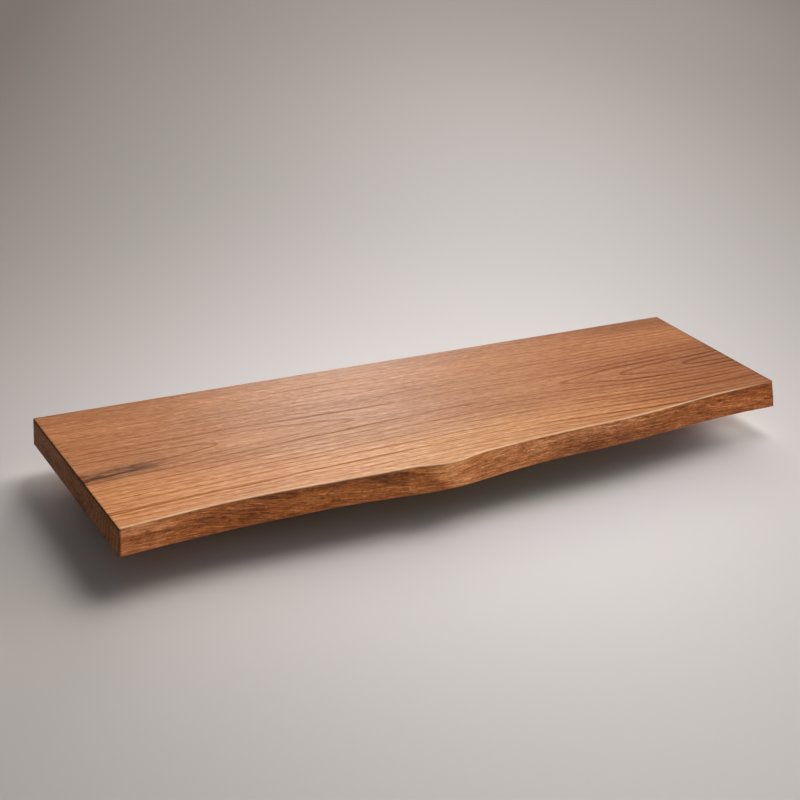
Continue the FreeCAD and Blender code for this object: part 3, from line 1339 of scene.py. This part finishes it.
    def rings(self, at: WoodPaint) -> tuple[Value, Value]:
        """Work out the field of growth rings.

        Args:
            at: The wood's graph.

        Returns:
            The ring number at each place, and the share of its growth that lies across the board.
        """
        slow, quick = at.noise((4.5, 13.0, 13.0), 2.0, 0.5), at.noise((24.0, 70.0, 70.0), 2.0, 0.5)
        drift = slow * 9.0 - 4.5 + (quick * 3.0 - 1.5)
        side = at.across - at.along.curve(self.heart_line) + drift
        height = at.along.curve(self.heart_height) + at.below
        radius = (side * side + height * height).maths("SQRT") + self.knot(at) * self.knot_push
        lean = (abs(side) / radius).maths("MAXIMUM", 0.16)
        return (radius - self.heart_depth) / self.ring_width, lean

    def knot(self, at: WoodPaint) -> Value:
        """Work out a bump of 1 at the grown-over knot in the live edge, falling off all round it.

        Args:
            at: The wood's graph.

        Returns:
            The bump's height.
        """
        parts = zip((at.x, at.y, at.z), self.knot_middle, self.knot_reach)
        shares = [(part - middle) / reach for part, middle, reach in parts]
        return (-sum(share * share for share in shares)).maths("EXPONENT")

    def line(self, rings: Value, lean: Value, width: float, spot: float, rise: float, fall: float) -> Value:
        """Return lines of even width on the top face, one to each whole number of rings.

        Args:
            rings: Ring number, or a multiple of it.
            lean: Share of the ring number's growth that lies across the board.
            width: Distance across the board for one whole number.
            spot: Share of a ring at which its line is darkest.
            rise: Distance over which a line darkens.
            fall: Distance over which it ends.

        Returns:
            1 in the middle of a line and 0 between the lines.
        """
        off = (rings.maths("FRACT") - spot) * width / lean
        return off.step(-rise, -0.2) * off.step(0.1, fall, 1.0, 0.0)

    def bold_rings(self, at: WoodPaint, rings: Value, lean: Value) -> Value:
        """Draw the bold late wood lines: dark at the outer side of each ring, by the ring's strength.

        Args:
            at: The wood's graph.
            rings: Ring number at each place.
            lean: Share of the ring number's growth that lies across the board.

        Returns:
            How strong a line is, from 0 to 1.
        """
        softer = lean * at.x.step(0.17, 0.30, 1.0, 1.55)
        line = self.line(rings, softer, self.ring_width, 0.82, 3.4, 1.3)
        count = len(self.ring_strength)
        stops = tuple((number / count, (grey,) * 3) for number, grey in enumerate(self.ring_strength))
        strength = ((rings.maths("FLOOR") - (self.first_ring - 0.5)) / count).colours(stops, "CONSTANT")
        fade = at.fractal(at.vector(at.x * 6.0, rings * 0.6, 0.0), 2.0, 0.5).step(0.32, 0.60, 0.4, 1.0)
        return line * strength * fade * at.across.step(60.0, 125.0, 0.35, 1.0)

    def fine_rings(self, at: WoodPaint, rings: Value, lean: Value) -> Value:
        """Draw faint closer lines between the bold ones, broken up along the grain.

        Args:
            at: The wood's graph.
            rings: Ring number at each place.
            lean: Share of the ring number's growth that lies across the board.

        Returns:
            How strong a line is, from 0 to 1.
        """
        doubled = at.noise((14.0, 90.0, 90.0), 2.0, 0.6) * 0.9 + rings * 2.0
        line = self.line(doubled, lean, self.ring_width / 2.0, 0.75, 2.2, 0.9)
        return line * at.noise((18.0, 120.0, 120.0), 2.0, 0.5).step(0.35, 0.65, 0.25, 1.0)

    def front_line(self, at: WoodPaint) -> Value:
        """Draw the dark line that runs in from the left end just behind the live edge.

        Args:
            at: The wood's graph.

        Returns:
            How strong the line is, from 0 to 1.
        """
        waver = at.noise((14.0, 10.0, 10.0), 2.0, 0.5)
        off = at.across - (at.along * -0.036 + waver * 7.0 + 233.0)
        line = off.step(-3.6, -0.4) * off.step(0.2, 1.6, 1.0, 0.0)
        return line * at.along.step(120.0, 340.0, 1.0, 0.0)

    def ground(self, at: WoodPaint) -> Value:
        """Mix the wood's ground colour: slow bands, paler towards the live edge, darker at the right, with a
        painted sheen.

        Args:
            at: The wood's graph.

        Returns:
            The colour.
        """
        along, across = at.along, at.across
        level = along.curve(self.tone) + at.noise((3.0, 30.0, 30.0), 3.0, 0.55) - 0.5
        level = level + across.step(160.0, 235.0) * along.step(520.0, 800.0, 0.38, 0.0)
        level = level + across.step(150.0, 190.0) * along.step(60.0, 240.0, 0.16, 0.0)
        level = level + along.step(640.0, 860.0) * across.curve(self.right_bands)
        level = level + along.curve(self.middle_share) * across.curve(self.middle_bands)
        level = level + across.step(20.0, 50.0, 1.0, 0.0) * along.curve(self.rear_tone)
        colour = (level - across.step(0.0, 55.0, 0.16, 0.0)).colours(self.ground_colours)
        # Painted sheen: green and blue raised to pale the middle of the strip behind the live edge.
        sheen_paleness = along.curve(self.sheen_paleness) * across.step(140.0, 205.0)
        return at.blend(1.0, colour, at.vector(1.0, sheen_paleness * 0.10 + 1.0, sheen_paleness * 0.22 + 1.0), "MULTIPLY")

    def bark_streak(self, at: WoodPaint) -> Value:
        """Draw the dark bark streak that runs in from the left end, sharp on its room side.

        Args:
            at: The wood's graph.

        Returns:
            How strong the streak is, from 0 to 1.
        """
        waver, fuzz = at.noise((40.0, 90.0, 90.0), 3.0, 0.6), at.noise((70.0, 300.0, 300.0), 2.0, 0.6)
        off = at.across - (at.along * -0.125 + 165.0) + (waver * 9.0 - 4.5)
        rim = off.step(0.0, 16.0, 0.50, 0.0) * at.along.step(5.0, 30.0, 0.3, 1.0)
        room_side = off.step(-0.5, 2.0, 1.0, 0.0).maths("MAXIMUM", rim)
        haze = off.step(-24.0, -7.0, 0.0, 0.95) * fuzz.step(0.40, 0.60, 1.0, 0.3)
        core = off.step(-6.5, -2.5).maths("MAXIMUM", haze)
        return room_side * core * at.along.step(55.0, 125.0, 1.0, 0.0)

    def edge_colour(self, at: WoodPaint, wood: Value) -> Value:
        """Lay the live edge's redder skin and a painted highlight along its top arris over the wood's
        colour.

        The tone is the stored one plus long streaks that follow the fibres, shorter ones,
        and small dark and pale specks.

        Args:
            at: The wood's graph.
            wood: The colour so far.

        Returns:
            The colour with the live edge in it.
        """
        fibre = at.marked("fibre_height")
        streak = at.fractal(at.vector(at.along * 0.028, fibre * 0.40, 0.0), 3.0, 0.6, 0.25)
        fleck = at.fractal(at.vector(at.along * 0.085, fibre * 0.92, 3.0), 2.0, 0.65, 0.3)
        speck = at.noise((260.0, 260.0, 520.0), 1.0, 0.5)
        tone = at.marked("edge_tone") + (streak * 1.35 - 0.675) + (fleck * 1.35 - 0.675)
        tone = tone - speck.step(0.56, 0.72, 0.0, 0.16) + speck.step(0.30, 0.42, 0.14, 0.0)
        rosy = at.vector(1.0, at.along.curve(self.greenness), at.along.curve(self.rosiness))
        skin = at.blend(1.0, (tone * 0.8).colours(self.skin), rosy, "MULTIPLY")
        shaded = at.blend(at.live * 0.95, wood, skin)
        # A pale painted highlight along the top arris, broken up by noise.
        highlight_breakup = at.noise((45.0, 45.0, 200.0), 2.0, 0.6).step(0.3, 0.6, 0.7, 1.0)
        return at.blend(at.marked("arris") * highlight_breakup, shaded, self.arris_highlight)

    def end_colour(self, at: WoodPaint, rings: Value, wood: Value) -> Value:
        """Lay the darker end grain over the sawn ends, darkest at their rims.

        Args:
            at: The wood's graph.
            rings: Ring number at each place.
            wood: The colour so far.

        Returns:
            The colour with the ends in it.
        """
        pores, patch = at.noise((400.0,) * 3, 3.0, 0.7), at.noise((30.0, 26.0, 60.0), 3.0, 0.6)
        share = rings.maths("FRACT") * -0.14 + (pores + patch * 0.8)
        dark = share.step(0.35, 1.1).colours(self.end_grain)
        rim = at.below.step(1.0, 3.8, 0.9, 0.0).maths("MAXIMUM", at.live * 0.85)
        return at.blend(at.ends * 0.93, wood, at.blend(rim, dark, self.end_rim))


@dataclass(frozen=True)
class Steel:
    """Metal with fine turning or drawing marks.

    Attributes:
        name: The material's name.
        colour: Ground colour.
        dark: Colour in the marks.
        roughness: Roughness of the clean surface.
        marks: Waves per metre of the marks along X, Y and Z.
        mark_depth: Depth of the marks in metres.
        metallic: Share of bare metal.
    """

    name: str
    colour: Triple
    dark: Triple
    roughness: float
    marks: Triple
    mark_depth: float
    metallic: float = 1.0

    def material(self) -> bpy.types.Material:
        """Build the metal's material.

        Returns:
            The material.
        """
        at = Paint(self.name)
        marks, cloud = at.noise(self.marks, 3.0, 0.6), at.noise((140.0,) * 3, 4.0, 0.6)
        share = (marks * 0.5 + cloud * 0.5).step(0.3, 0.7)
        shade = share.colours(((0.0, self.dark), (1.0, self.colour)))
        rough, normal = cloud * 0.22 + (self.roughness - 0.11), at.bump(marks, self.mark_depth)
        return at.finish(Base_Color=shade, Roughness=rough, Normal=normal, Metallic=self.metallic)


PLATE_ZINC = Steel("plate_zinc", (0.66, 0.67, 0.69), (0.45, 0.46, 0.48), 0.42, (900.0,) * 3, 0.00003)
ROD_BAR = Steel("rod_bar", (0.62, 0.62, 0.63), (0.40, 0.40, 0.41), 0.30, (900.0, 60.0, 900.0), 0.00003)
BRASS = Steel("turned_brass", (0.80, 0.60, 0.28), (0.55, 0.38, 0.15), 0.30, (300.0, 300.0, 2600.0), 0.00002)
BLACK_OXIDE = Steel(
    "black_oxide", (0.075, 0.075, 0.08), (0.03, 0.03, 0.033), 0.38, (700.0,) * 3, 0.00002, 0.6
)


def dress(piece: Piece, body: Body, slot: Slot, node: str, material: bpy.types.Material) -> None:
    """Give a piece its material and body, and let it stand for its node.

    Args:
        piece: The finished piece.
        body: The body that it rides on.
        slot: The record's material slot; not used.
        node: The node that it stands for.
        material: Its material.
    """
    piece.data.materials.clear()
    piece.data.materials.append(material)
    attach(piece, body.value)
    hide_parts(node)
    piece.data.calc_loop_triangles()
    log.info("%s: %d triangles, rides on %s", piece.name, len(piece.data.loop_triangles), body.value)


@dataclass(frozen=True)
class Oval:
    """A turned oval on the ground.

    Attributes:
        middle: Its middle, in metres.
        size: Half its length and half its width, in metres.
        turn: Angle of its length from +X.
    """

    middle: Pair
    size: Pair
    turn: float

    def squares(self, at: Graph) -> Value:
        """Work out the squared share of the oval's size at a place.

        Args:
            at: The graph that reads the place.

        Returns:
            0 in the middle and 1 on the oval.
        """
        right, back = at.x - self.middle[0], at.y - self.middle[1]
        cosine, sine = math.cos(self.turn), math.sin(self.turn)
        along = (right * cosine + back * sine) / self.size[0]
        aside = (back * cosine - right * sine) / self.size[1]
        return along * along + aside * aside


@dataclass(frozen=True)
class PaintedShading(Oval):
    """A paler or darker oval in the ground's paint, with soft rims: exp(-squares^sharpness). A darker one is
    painted shadow, a paler one painted light.

    Attributes:
        sharpness: How sharply it ends.
        amounts: Logarithm of how much paler it makes the red, green and blue.
    """

    sharpness: float
    amounts: Triple

    def field(self, at: Graph) -> Value:
        """Return 1 in the oval's middle, falling to 0 outside."""
        return (-(self.squares(at) ** self.sharpness)).maths("EXPONENT")


@dataclass(frozen=True)
class Lamp:
    """A soft rectangular lamp that points at the shelf.

    Attributes:
        name: Its name.
        place: Where it hangs, in metres.
        size: Its width and height, in metres.
        power: Its power in watts.
        tint: Its colour.
        gleam: Whether it shows in glossy surfaces.
        spread: Angle that its light is kept within, in degrees.
        target: What it points at, in metres.
    """

    name: str
    place: Triple
    size: Pair
    power: float
    tint: Triple = (1.0, 0.985, 0.97)
    gleam: bool = False
    spread: float = 180.0
    target: Triple = (0.0, -0.13, 0.0)

    def hang(self) -> None:
        """Hang the lamp in the scene."""
        data = bpy.data.lights.new(self.name, "AREA")
        data.shape = "RECTANGLE"
        data.size, data.size_y = self.size
        data.energy = self.power
        data.color = self.tint
        data.spread = math.radians(self.spread)
        lamp = bpy.data.objects.new(self.name, data)
        lamp.location = self.place
        lamp.rotation_mode = "QUATERNION"
        lamp.rotation_quaternion = (Vector(self.target) - Vector(self.place)).to_track_quat("-Z", "Y")
        lamp.visible_camera = False
        lamp.visible_glossy = self.gleam
        bpy.context.scene.collection.objects.link(lamp)


@dataclass(frozen=True)
class Studio:
    """Pale ground, soft lamps, the air round them and the camera.

    Attributes:
        ground_level: Height of the ground, in metres.
        ground_radius: Radius of the ground, in metres.
        pool: The painted pool of light on the ground.
        pool_edge: Tone far outside the pool.
        pool_light: How much paler the pool's middle is.
        pool_fall: How fast the tone falls off.
        spot: The round painted spot of light at the shelf.
        spot_light: How much paler the spot's middle is.
        painted_shadings: Painted shadow and painted light: paler and darker ovals in the paint.
        lamps: Scrims far behind and above, the soft box, and the fill from the front right.
        camera_place: Where the camera stands, in metres.
        camera_angles: Its turn, rise and roll, in degrees.
        lens: Its focal length in millimetres.
    """

    ground_level: float = -0.046
    ground_radius: float = 16.0
    pool: Oval = Oval((0.301, 0.021), (2.798, 0.967), 1.011)
    pool_edge: float = 0.153
    pool_light: float = 0.452
    pool_fall: float = 1.813
    spot: Oval = Oval((-0.005, -0.1), (0.533, 0.533), 0.0)
    spot_light: float = 0.221
    painted_shadings: tuple[PaintedShading, ...] = (
        # The first is painted shadow under the shelf, the next four paint light into the shadow's rims at
        # the ends, and the last three shape the painted pool of light.
        PaintedShading((-0.097, -0.187), (0.332, 0.089), -0.136, 2.0, (-0.50, -0.415, -0.55)),
        PaintedShading((-0.467, -0.096), (0.077, 0.036), 1.53, 1.0, (0.42, 0.42, 0.42)),
        PaintedShading((-0.451, -0.300), (0.232, 0.089), -0.143, 1.0, (0.165, 0.149, 0.118)),
        PaintedShading((0.386, -0.236), (0.046, 0.039), 0.335, 1.0, (0.20, 0.22, 0.20)),
        PaintedShading((0.350, -0.241), (0.060, 0.028), 0.0, 1.0, (0.44, 0.49, 0.49)),
        PaintedShading((0.249, 2.369), (0.178, 2.150), -0.424, 1.0, (-0.166, -0.208, -0.259)),
        PaintedShading((-0.430, -0.024), (0.699, 0.318), -0.486, 1.0, (0.103, 0.116, 0.131)),
        PaintedShading((2.761, 2.591), (0.398, 1.404), -0.546, 1.0, (0.132, 0.116, 0.129)),
    )
    lamps: tuple[Lamp, ...] = (
        Lamp("scrim", (13.52, 10.60, 16.76), (13.97, 11.81), 4650.0),
        Lamp("low_scrim", (46.1, 26.8, 17.0), (66.0, 11.2), 36000.0),
        Lamp("soft_box", (2.20, 3.93, 2.15), (0.72, 1.4), 31.0, (1.0, 0.95, 0.86), True),
        Lamp("fill", (2.6, -3.2, 0.32), (1.6, 0.6), 3.0, spread=40.0),
    )
    camera_place: Triple = (-0.89414, -1.43772, 0.74871)
    camera_angles: Triple = (-32.79, 24.86, 5.0)
    lens: float = 65.66

    def ground(self) -> None:
        """Lay a large disc of ground."""
        radii = np.concatenate([np.linspace(0.05, 1.0, 8), np.geomspace(1.3, self.ground_radius, 12)])
        turn = np.arange(COLUMNS) * FULL_TURN / COLUMNS
        x, y = radii[:, None] * np.cos(turn), radii[:, None] * np.sin(turn)
        rings = np.stack([x, y, np.full(x.shape, self.ground_level)], axis=-1)[::-1] * METRE
        piece = meshed(lofted(rings, start=False), "ground")
        piece.data.materials.append(self.ground_material())

    def ground_material(self) -> bpy.types.Material:
        """Mix the ground's matt paint with a painted pool of light, palest in an oval under the shelf, and
        painted shadow and light round the shelf.

        The tone is pool_edge + pool_light / (1 + q^2)^pool_fall + spot_light * exp(-s^2),
        with q and s the shares of the pool's and the spot's size. Far out, and in front
        of the shelf, it rises again to the tone of the backdrop.

        Returns:
            The material.
        """
        at = Paint("studio_ground")
        # Painted pool of light and spot of light: the paint is palest under the shelf and darker outwards.
        share = (self.pool.squares(at) + 1.0) ** -self.pool_fall
        near = (-self.spot.squares(at)).maths("EXPONENT")
        tone = share * self.pool_light + self.pool_edge + near * self.spot_light
        reach = (at.x * at.x + at.y * at.y).maths("SQRT")
        tone = tone.maths("MAXIMUM", reach.step(3.0, 6.5, 0.0, 0.40))
        tone = tone.maths("MAXIMUM", at.y.step(-2.2, -0.85, 0.40, 0.15))
        tint = share.colours(((0.0, (1.0, 0.907, 0.838)), (1.0, (1.0, 0.948, 0.935))))
        shade = at.blend(1.0, tint, at.vector(tone, tone, tone), "MULTIPLY")
        # The ovals' painted shadow and painted light multiply the paint.
        fields = [(shading.field(at), shading.amounts) for shading in self.painted_shadings]
        sums = [sum(field * amounts[channel] for field, amounts in fields) for channel in range(3)]
        stained = at.vector(*(total.maths("EXPONENT") for total in sums))
        shade = at.blend(1.0, shade, stained, "MULTIPLY")
        return at.finish(Base_Color=shade, Roughness=0.9, Specular_IOR_Level=0.1)

    def sky(self) -> None:
        """Light the scene a little from all round, and show a pale backdrop to the camera and in gloss."""
        world = bpy.data.worlds.new("studio_air")
        bpy.context.scene.world = world
        world.use_nodes = True
        graph = Graph(world.node_tree, "Generated")
        path = graph.add("ShaderNodeLightPath").outputs
        seen = graph.maths("MAXIMUM", path["Is Camera Ray"], path["Is Glossy Ray"])
        seen = seen.maths("MAXIMUM", path["Is Transmission Ray"])
        air = graph.value("ShaderNodeBackground", {"Color": rgb(0.95, 0.97, 1.0), "Strength": 0.10})
        fall = graph.z.colours(((0.21, (0.40, 0.37, 0.35)), (0.36, (0.03, 0.029, 0.028))))
        backdrop = graph.value("ShaderNodeBackground", {"Color": fall, "Strength": 1.0})
        both = graph.value("ShaderNodeMixShader", {0: seen, 1: air, 2: backdrop})
        graph.add("ShaderNodeOutputWorld", {"Surface": both})

    def camera(self) -> None:
        """Stand the camera where the photograph was taken: above the left front, rolled a little."""
        turn, rise, roll = (math.radians(angle) for angle in self.camera_angles)
        back = Vector((math.sin(turn) * math.cos(rise), -math.cos(turn) * math.cos(rise), math.sin(rise)))
        level = (-back).cross(Vector((0.0, 0.0, 1.0))).normalized()
        upright = level.cross(-back)
        right = math.cos(roll) * level + math.sin(roll) * upright
        up = -math.sin(roll) * level + math.cos(roll) * upright
        lens = bpy.data.cameras.new("camera")
        lens.sensor_width = 36.0
        lens.lens = self.lens
        lens.clip_end = 100.0
        camera = bpy.data.objects.new("camera", lens)
        facing = Matrix((right, up, back)).transposed().to_4x4()
        camera.matrix_world = Matrix.Translation(self.camera_place) @ facing
        bpy.context.scene.collection.objects.link(camera)
        bpy.context.scene.camera = camera

    def build(self) -> None:
        """Set up the whole studio."""
        self.camera()
        self.ground()
        for lamp in self.lamps:
            lamp.hang()
        self.sky()
        bpy.context.scene.view_settings.view_transform = "Standard"


def main() -> None:
    """Build the studio, then the slab and the three supports."""
    logging.basicConfig(level=logging.INFO, format="%(message)s")
    Studio().build()
    supports = [Support(place) for place in Place]
    wood = OiledWood().material()
    pockets = [cutter for support in supports for cutter in support.pocket()]
    board = LiveEdgeBoard()
    dress(board.build(pockets), Body.SHELF, Slot.WOOD, board.node, wood)
    zinc, bar, brass, oxide = (steel.material() for steel in (PLATE_ZINC, ROD_BAR, BRASS, BLACK_OXIDE))
    for support in supports:
        name = support.place.value
        dress(WallPlate(support).build(), Body.SUPPORTS, Slot.PLATE, f"wall_plate_{name}", zinc)
        dress(SupportRod(support).build(), Body.SUPPORTS, Slot.ROD, f"support_rod_{name}", bar)
        dress(ThreadedInsert(support).build(), Body.SHELF, Slot.BRASS, f"threaded_insert_{name}", brass)
        dress(LockScrew(support).build(), support.place.lock_body, Slot.SCREW, f"lock_screw_{name}", oxide)


if __name__ == "__main__":
    main()
